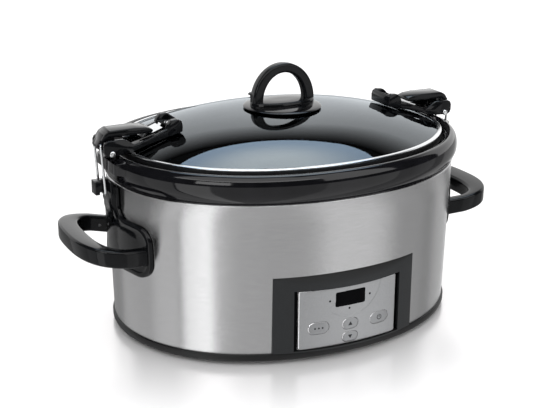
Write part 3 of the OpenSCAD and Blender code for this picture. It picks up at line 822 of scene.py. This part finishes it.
def make_handle(side, word):
    """Loop, wall plate, post and latch hook in one moulding."""
    post = slab("post", [(171.2, 118), (174, 118), (POST_X, 134), (POST_X, HOOK_TOP), (175.9, HOOK_TOP),
                         (175.9, 149.6), (172, 149.6)], -12, 12, side)
    hook = slab("hook", [(POST_X - 1, WEB_Z), (HEAD_X, WEB_Z), (HEAD_X, LIP_Z), (HEAD_TIP, LIP_Z),
                         (HEAD_TIP, HOOK_TOP), (POST_X - 1, HOOK_TOP)], -6, 6, side)
    parts = [loop_mesh("loop", side), plate_mesh("plate", side), soften(post, 0.8), soften(hook, 0.6)]
    place(join(f"handle_{word}_moulding", parts), "housing", "black_plastic", f"side_handle_{word}")


# ---- crock

RIM_PROFILE = [
    (-18, 148.6), (-15, 150.0), (-1.7, 150.02), (-1.2, 151.5), (1.8, 156), (3.8, 161), (4.15, 166),
    (3.6, 170.5), (2.2, 174.2), (0, 176.6), (-2.6, 177.15), (-5.6, 176.2), (-8, 173.6), (-8.8, 170.2),
]
LUG_HALF, LUG_FOOT, LUG_TOP = 27.0, 163.5, 173.0
LUG_X = size_mm("stoneware_crock")[1][0] - 0.4
WAIST_X = 171.2


def make_crock():
    """Stoneware: foot, wall, bulged rim with end lugs, ledge and inner bowl."""
    rings = [(-46, 33.6), (-40, 34.2), (-36, 36), (-33, 39.5), (-31, 44), (-25, 90), (-18.5, 140)]
    rings += rounded(RIM_PROFILE)
    rings += [(-9.2, 170.1), (-19.5, 170.0), (-22, 169.2), (-23.4, 167.4), (-24.6, 163), (-28, 130),
              (-32, 90), (-38, 52), (-40, 47), (-43.5, 44), (-51, 42), (-70, 41.6), (-100, 41.5)]
    built = []
    for grow, z in rings:
        ring = []
        for x, y, height in oval_ring(grow, z):
            if grow > -1.5 and LUG_FOOT - 10 < z < LUG_TOP + 1 and abs(y) < LUG_HALF + 6:
                side_share = 1 - min(1, max(0, (abs(y) - 21) / 9)) ** 2
                if LUG_FOOT - 1 < z:
                    x = copysign(abs(x) + (LUG_X - abs(x)) * side_share, x)
                else:
                    x = copysign(abs(x) - min(2.2, abs(x) - WAIST_X) * side_share * 0.8, x)
            ring.append((x, y, height))
        built.append(ring)
    crock = solid("crock_body", built, 55)
    place(crock, "crock", "crock_glaze", "stoneware_crock")


# ---- lid

GLASS_A, GLASS_B = HALF_A - 13.1, HALF_B - 13.1
GLASS_EDGE, GLASS_THICK = 178.0, 3.5
DOME_Z = size_mm("lid_glass")[1][2]


def dome(share):
    """Height of the glass at a share of the way from its middle to its edge."""
    return GLASS_EDGE + (DOME_Z - GLASS_EDGE) * (1 - share ** 2.5)


def make_glass():
    def ring(share, drop):
        return oval(GLASS_A * share, GLASS_B * share, dome(share) - drop)

    steps = [0.022, 0.06, 0.1, 0.16, 0.22, 0.3, 0.38, 0.46, 0.54, 0.62, 0.69, 0.76, 0.82, 0.88, 0.93, 0.97,
             0.992, 1.0]
    outer = [ring(s, 0.02) for s in reversed(steps)]
    inner = [ring(s * 0.975, GLASS_THICK) for s in steps]
    edge = [[(x, y, GLASS_EDGE - 3) for x, y, z in ring(1.0, 0)]]
    glass = build("glass_dome", *skin(outer + inner + edge, closed_section=True), 60)
    place(glass, "lid", "lid_glass", "lid_glass")


def make_lid_trim():
    """Bright band and gasket round the glass, and the vent's grommet."""
    band = oval_band("rim_band", [
        (-11.1, 177.6), (-11.1, 178.6), (-11.5, 179.1), (-12.4, 179.4), (-14.7, 179.45), (-14.8, 178.8),
        (-12.95, 178.3), (-12.95, 177.6)])
    place(band, "lid", "lid_band", "lid_rim_band")
    seal = oval_band("gasket_lip", rounded([(-13.6, 170.5), (-11.8, 170.6), (-11.1, 172)], 3) + [
        (-11.05, 177.4), (-12.95, 177.4), (-12.95, 174.5), (-17.5, 174.45), (-17.5, 173.2)])
    place(seal, "lid", "seal_rubber", "lid_gasket")
    low, high = size_mm("vent_grommet")
    middle = [(a + b) / 2 for a, b in zip(low, high)][:2]
    top = high[2]
    vent = lathe("vent_bush", [
        (1.4, low[2]), (3, low[2]), (3, top - 1.8), (5.15, top - 1.75), (4.9, top - 0.8), (4.2, top - 0.1),
        (1.8, top - 0.05), (1.4, top - 0.4)], middle, 48)
    place(vent, "lid", "seal_rubber", "vent_grommet")


FLANGE, ARCH_HALF, ARCH_EDGE, ARCH_STEPS = 37.5, 5.25, 2.4, 56
ARCH_FOOT, ARCH_BASE, ARCH_TOP = 204.6, 209.0, size_mm("lid_handle")[1][2]
ARCH_OUT, ARCH_IN = (32.3, ARCH_TOP - ARCH_BASE - 0.05), (21.9, ARCH_TOP - ARCH_BASE - 9.2)


def make_lid_handle():
    """Round flange, oval plinth and arch in one moulding."""
    rim = rounded([(FLANGE - 1.5, 202.6), (FLANGE - 0.3, 203.1), (FLANGE - 0.1, 203.6),
                   (FLANGE - 0.9, 204.1), (FLANGE - 2.4, 204.6)])
    disk = lathe("disk", [(0.5, 202.6)] + rim + [(30, 205.0), (20, 206.1), (0.5, 206.2)], (0, 0), 120, 40)
    plinth_rings = []
    for a, b, z in ((33.0, 17.0, 204.8), (33.0, 17.0, 208.4), (32.3, 16.3, 209.3), (31, 15, 209.6),
                    (10, 5, 209.65), (0.3, 0.2, 209.65)):
        plinth_rings.append([(a * cos(t), b * sin(t), z) for t in turns(80)])
    plinth = solid("plinth", plinth_rings, 50)
    stations = [[(x, ARCH_FOOT) for x in (ARCH_OUT[0], ARCH_IN[0])]]
    for i in range(ARCH_STEPS + 1):
        c, s = cos(pi * i / ARCH_STEPS), sin(pi * i / ARCH_STEPS)
        stations.append([(a * c, ARCH_BASE + b * s) for a, b in (ARCH_OUT, ARCH_IN)])
    stations.append([(-x, ARCH_FOOT) for x in (ARCH_OUT[0], ARCH_IN[0])])
    rings = [[(x, y, z) for x, z, y in bar_section(*ends, ARCH_HALF, ARCH_EDGE, 5)] for ends in stations]
    arch = solid("arch", rings, 60)
    place(join("lid_handle_moulding", [disk, plinth, arch]), "lid", "black_plastic", "lid_handle")


# ---- latches

PIN = (177.0, 181.0)
BAIL = (185.2, 188.0)
BAR = (182.4, 142.4)
LATCH_SCREW_X = 117.0
WIRE_R = 1.2
WIRE_Y, WIRE_END = 8.9, 3.1
CHEEK_OUT, CHEEK_IN, LEVER_HALF, LIP_HALF = 16.5, 12.3, 10.0, 7.4


def make_bracket(side, word):
    """Two cheeks that carry the hinge pin, the block with the screw's pocket, and a web between them."""
    cheek = [(122, 190.9), (146, 184.7), (158, 180.6), (168, 179.2), (180, 178.4), (183.6, 180.4),
             (184.6, 183.5), (184.6, 188.6), (183.4, 191.6), (180.5, 193.1), (166, 193.1), (162, 191.2),
             (156, 187.3), (150, 188.3), (142, 191.4), (124, 197.9)]
    block = [(109.4, 194.0), (124.5, 190.1), (124.5, 199), (123.4, 202.6), (119.8, 205.3), (113.8, 205.8),
             (110.6, 204.0), (109.4, 200.5)]
    web = [(122, 191.4), (146, 184.9), (158, 180.8), (162.9, 180.2), (162.9, 182.2), (146, 186.8),
           (122, 193.3)]
    parts = []
    for low, high in ((-CHEEK_OUT, -CHEEK_IN), (CHEEK_IN, CHEEK_OUT)):
        parts.append(soften(slab("cheek", cheek, low, high, side), 0.7, 3))
    body = slab("block", block, -CHEEK_OUT, CHEEK_OUT, side)
    x0 = LATCH_SCREW_X - 4.6
    pocket = slab("pocket", [(x0, 199.1), (130, 199.1), (130, 210), (x0, 210)], -10.5, 10.5, side)
    cut(body, [pocket])
    soften(body, 1.1, 4)
    parts.append(body)
    parts.append(soften(slab("web", web, -CHEEK_IN - 0.1, CHEEK_IN + 0.1, side), 0.3, 2))
    place(join(f"bracket_{word}_moulding", parts), "lid", "black_plastic", f"latch_bracket_{word}")


def make_lever(side, word):
    """Flat top, bent lip and the two bosses that turn on the hinge pin."""
    top = [(137, 194.7), (177, 194.3), (182.3, 191.6), (184.9, 192.1), (181.2, 197.6), (178.9, 199.2),
           (176, 200.6), (152, 200.9), (142, 200.0), (137.4, 198.4), (135.7, 197.3), (135.6, 196)]
    lip = [(183.6, 184.1), (187.0, 184.1), (188.1, 187.5), (185.1, 191.9), (181.3, 197.6), (176, 200.0),
           (171, 199.8), (172.5, 183), (175, 178.6)]
    parts = [soften(slab("plate", top, -LEVER_HALF, LEVER_HALF, side), 1.2, 4, 25)]
    parts.append(soften(slab("lip", lip, -LIP_HALF, LIP_HALF, side), 0.8, 3, 25))
    for y in (-1, 1):
        low, high = sorted((y * 6, y * LIP_HALF))
        parts.append(soften(slab("boss", circle(*PIN, 4.7, 40), low, high, side), 0.3, 2))
    place(join(f"lever_{word}_moulding", parts), f"lever_{word}", "black_plastic", f"latch_lever_{word}")


def corner(path_from, at, path_to, radius, steps=6):
    """Points of a bend of a given radius at one corner of a wire."""
    a, p, b = Vector(path_from), Vector(at), Vector(path_to)
    first, second = (a - p).normalized() * radius, (b - p).normalized() * radius
    out = []
    for i in range(steps + 1):
        t = i / steps
        out.append(tuple((p + first) * (1 - t) ** 2 + p * 2 * t * (1 - t) + (p + second) * t ** 2))
    return out


def make_bail(side, word):
    """Wire loop that hangs from the lever, with both ends in the lever's holes."""
    top, low = [(side * x, z) for x, z in (BAIL, BAR)]
    knots = [(x, y, z) for (x, z), y in ((top, WIRE_END), (top, WIRE_Y), (low, WIRE_Y), (low, -WIRE_Y),
                                         (top, -WIRE_Y), (top, -WIRE_END))]
    path = [knots[0]]
    for i in range(1, len(knots) - 1):
        path += corner(knots[i - 1], knots[i], knots[i + 1], 1.7)
    path.append(knots[-1])
    bail = tube(f"bail_{word}_wire", path, WIRE_R - 0.02)
    place(bail, f"bail_{word}", "hook_chrome", f"latch_bail_{word}")


def make_pin(side, word):
    """Hinge pin with a domed rivet head at each end."""
    def disc(radius, y, count):
        return [(x, y, z) for x, z in circle(side * PIN[0], PIN[1], radius, count)]

    parts = []
    for y in (-1, 1):
        steps = ((2.85, 16.75), (2.85, 17.5), (2.3, 18.0), (1.2, 18.18))
        head = [disc(r, y * depth, 28) for r, depth in steps]
        parts.append(solid("rivet", head, 50))
    shaft = [disc(1.97, y, 24) for y in (-16.9, 16.9)]
    parts.append(solid("shaft", shaft, 50))
    place(join(f"pin_{word}_rivet", parts), "lid", "hook_chrome", f"latch_pin_{word}")


# ---- carried-over nodes


def dress_cad_nodes():
    """Gives every CAD node that still shows the material of its slot."""
    slots = {row["node"]: row["material_slot"] for row in frame["record"]["subparts"]}
    for name, obj in frame["nodes"].items():
        obj.data.materials.clear()
        obj.data.materials.append(MATERIALS[slots[name]])


# ---- studio

SCREEN_RADIUS, SCREEN_MIDDLE, SCREEN_STEP = 3.0, 0.12, 5


def emissive(name, strength):
    material, nodes = bare_material(name)
    show(add_node(nodes, "Emission", Color=(1, 1, 1, 1), Strength=strength), "Emission")
    return material


def screen_height(degrees):
    """Height of the dome of screens at an elevation, in metres."""
    return SCREEN_MIDDLE + SCREEN_RADIUS * sin(radians(degrees))


def surround(name, azimuths, elevations, strength):
    """Screen seen only in reflections: a patch of a dome round the cooker, azimuth 0 in front, 90 right."""
    steps_a = max(2, int((azimuths[1] - azimuths[0]) / SCREEN_STEP))
    steps_e = max(2, int((elevations[1] - elevations[0]) / SCREEN_STEP))
    points, faces = [], []
    for i in range(steps_e + 1):
        elevation = elevations[0] + (elevations[1] - elevations[0]) * i / steps_e
        reach = SCREEN_RADIUS * cos(radians(elevation))
        for k in range(steps_a + 1):
            a = radians(azimuths[0] + (azimuths[1] - azimuths[0]) * k / steps_a)
            points.append((reach * sin(a), -reach * cos(a), screen_height(elevation)))
    for i in range(steps_e):
        for k in range(steps_a):
            c = i * (steps_a + 1) + k
            faces.append((c, c + 1, c + steps_a + 2, c + steps_a + 1))
    return reflected_only(name, points, faces, emissive(name, strength))


def reflected_only(name, points, faces, material):
    """Stage object that lights the cooker only by its reflection; its points are in metres."""
    mesh = bpy.data.meshes.new(name)
    mesh.from_pydata(points, [], faces)
    mesh.materials.append(material)
    obj = new_object(name, mesh)
    obj.visible_camera = False
    obj.visible_shadow = False
    obj.visible_diffuse = False
    obj.visible_transmission = False
    return obj


BACKDROP_FADE, BACKDROP_TOP, BACKDROP_GLOW = 32.0, 47.0, 1.33
SOFTBOX_AT, SOFTBOX_R = (0.39, 0.52, 1.7), 0.8


def fade(material, low, high, power, strength):
    """Lets a screen's glow die away between two heights."""
    nodes = material.node_tree.nodes
    parts = add_node(nodes, "SeparateXYZ")
    feed_object_space(parts, "Vector")
    span = add_node(nodes, "MapRange", From_Min=low, From_Max=high, To_Min=1, To_Max=0)
    wire(parts, "Z", span, "Value")
    curve = add_node(nodes, "Math")
    curve.operation = "POWER"
    curve.inputs[1].default_value = power
    wire(span, "Result", curve, 0)
    scale = add_node(nodes, "Math")
    scale.operation = "MULTIPLY"
    scale.inputs[1].default_value = strength
    wire(curve, "Value", scale, 0)
    wire(scale, "Value", nodes["Emission"], "Strength")


def softbox_material():
    """Round softbox: almost white in the middle, cooler and dimmer towards its edge."""
    material = emissive("softbox", 4.6)
    nodes = material.node_tree.nodes
    length = add_node(nodes, "VectorMath")
    length.operation = "LENGTH"
    feed_object_space(length, 0)
    ramp = add_node(nodes, "ValToRGB")
    ramp.color_ramp.interpolation = "EASE"
    first, last = ramp.color_ramp.elements
    first.position = 0.15
    last.position = 0.75
    first.color = (0.90, 0.97, 1.0, 1)
    last.color = (0.42, 0.53, 0.66, 1)
    wire(length, "Value", ramp, "Fac")
    wire(ramp, "Color", nodes["Emission"], "Color")
    return material


# Screens below the horizon, which the upright steel mirrors: name, azimuths, strength.
WALL_SCREENS = [
    ("far_left", (-200, -150), 0.30), ("left", (-150, -104), 0.62), ("left_soft", (-104, -77), 0.85),
    ("strip", (-75, -50), 1.65), ("front_left", (-50, -18), 0.60), ("front", (-18, 15), 0.57),
    ("front_right", (15, 52), 0.90), ("right", (52, 82), 0.50), ("right_dark", (82, 94), 0.28),
    ("right_far", (94, 120), 0.55), ("behind", (120, 160), 0.8),
]
# Screens above the horizon, which the crock's rim and the handles mirror.
HIGH_SCREENS = [
    ("front", (-80, 14), (33, 72), 2.0), ("front_edge", (-80, 14), (27, 33), 3.6),
    ("side", (14, 50), (10, 60), 1.9), ("glint", (-60, -37), (8, 22), 3.5),
]


def make_world():
    """White surroundings for diffuse light and the camera, nearly black ones for reflections."""
    world = bpy.data.worlds.new("studio")
    bpy.context.scene.world = world
    world.use_nodes = True
    nodes = world.node_tree.nodes
    background = set_inputs(nodes["Background"], Color=(1, 1, 1, 1))
    path = add_node(nodes, "LightPath")
    level = add_node(nodes, "MapRange", To_Min=1.4, To_Max=0.03)
    wire(path, "Is Glossy Ray", level, "Value")
    wire(level, "Result", background, "Strength")


def make_screens():
    for name, azimuths, strength in WALL_SCREENS:
        surround(f"screen_{name}", azimuths, (-89, -1), strength)
    backdrop = surround("backdrop", (85, 225), (-1, BACKDROP_TOP), 1.0)
    low, high = screen_height(BACKDROP_FADE), screen_height(BACKDROP_TOP)
    fade(backdrop.data.materials[0], low, high, 1.3, BACKDROP_GLOW)
    for name, azimuths, elevations, strength in HIGH_SCREENS:
        surround(f"high_{name}", azimuths, elevations, strength)
    rings = [[(x, y, 0) for x, y in circle(0, 0, r, 64)] for r in (0.01, 0.3, 0.6, SOFTBOX_R)]
    softbox = reflected_only("softbox", *skin(rings, cap_first=True), softbox_material())
    softbox.location = SOFTBOX_AT


def make_floor():
    """Pale floor whose faint gloss fades with the distance from the cooker's outline."""
    bpy.ops.mesh.primitive_plane_add(size=12)
    floor = bpy.context.object
    floor.name = "floor"
    material, nodes = bare_material("floor")
    white = add_node(nodes, "BsdfDiffuse", Color=(0.95, 0.945, 0.95, 1))
    gloss = add_node(nodes, "BsdfGlossy", Color=(1, 0.98, 0.98, 1), Roughness=0.24)
    mix = add_node(nodes, "MixShader")
    shares_of_half = add_node(nodes, "VectorMath")
    shares_of_half.operation = "MULTIPLY"
    shares_of_half.inputs[1].default_value = (1 / (HALF_A * MM), 1 / (HALF_B * MM), 0)
    feed_object_space(shares_of_half, 0)
    away = add_node(nodes, "VectorMath")
    away.operation = "LENGTH"
    wire(shares_of_half, "Vector", away, 0)
    shine = add_node(nodes, "MapRange", From_Min=1.0, From_Max=1.6, To_Min=0.46, To_Max=0.14)
    wire(away, "Value", shine, "Value")
    wire(shine, "Result", mix, "Fac")
    wire(white, "BSDF", mix, 1)
    wire(gloss, "BSDF", mix, 2)
    show(mix, "Shader")
    floor.data.materials.append(material)
    floor.visible_glossy = False


# Where the photo was taken from: place in metres, angles in degrees, azimuth 0 in front and 90 right.
CAMERA_AT = (-0.5064, -0.9740, 0.4707)
CAMERA_AZIMUTH, CAMERA_ELEVATION, CAMERA_ROLL = -26.992, 18.478, 0.305
CAMERA_LENS, CAMERA_SENSOR = 78.09, 36


def make_camera():
    azimuth, elevation, roll = [radians(v) for v in (CAMERA_AZIMUTH, CAMERA_ELEVATION, CAMERA_ROLL)]
    back = Vector((sin(azimuth) * cos(elevation), -cos(azimuth) * cos(elevation),
                   sin(elevation)))
    right = (-back).cross(Vector((0, 0, 1))).normalized()
    up = right.cross(-back)
    level_right = right * cos(roll) + up * sin(roll)
    level_up = -right * sin(roll) + up * cos(roll)
    data = bpy.data.cameras.new("camera")
    data.sensor_width = CAMERA_SENSOR
    data.lens = CAMERA_LENS
    camera = new_object("camera", data)
    turn = Matrix((level_right, level_up, back)).transposed().to_4x4()
    camera.matrix_world = Matrix.Translation(CAMERA_AT) @ turn
    bpy.context.scene.camera = camera
    bpy.context.scene.view_settings.view_transform = "Standard"


dress_cad_nodes()
make_wrap()
make_base()
make_bezel()
make_plate()
make_buttons()
make_window()
make_crock()
make_glass()
make_lid_trim()
make_lid_handle()
for side, word in ((-1, "left"), (1, "right")):
    make_handle(side, word)
    make_bracket(side, word)
    make_lever(side, word)
    make_bail(side, word)
    make_pin(side, word)
make_world()
make_screens()
make_floor()
make_camera()
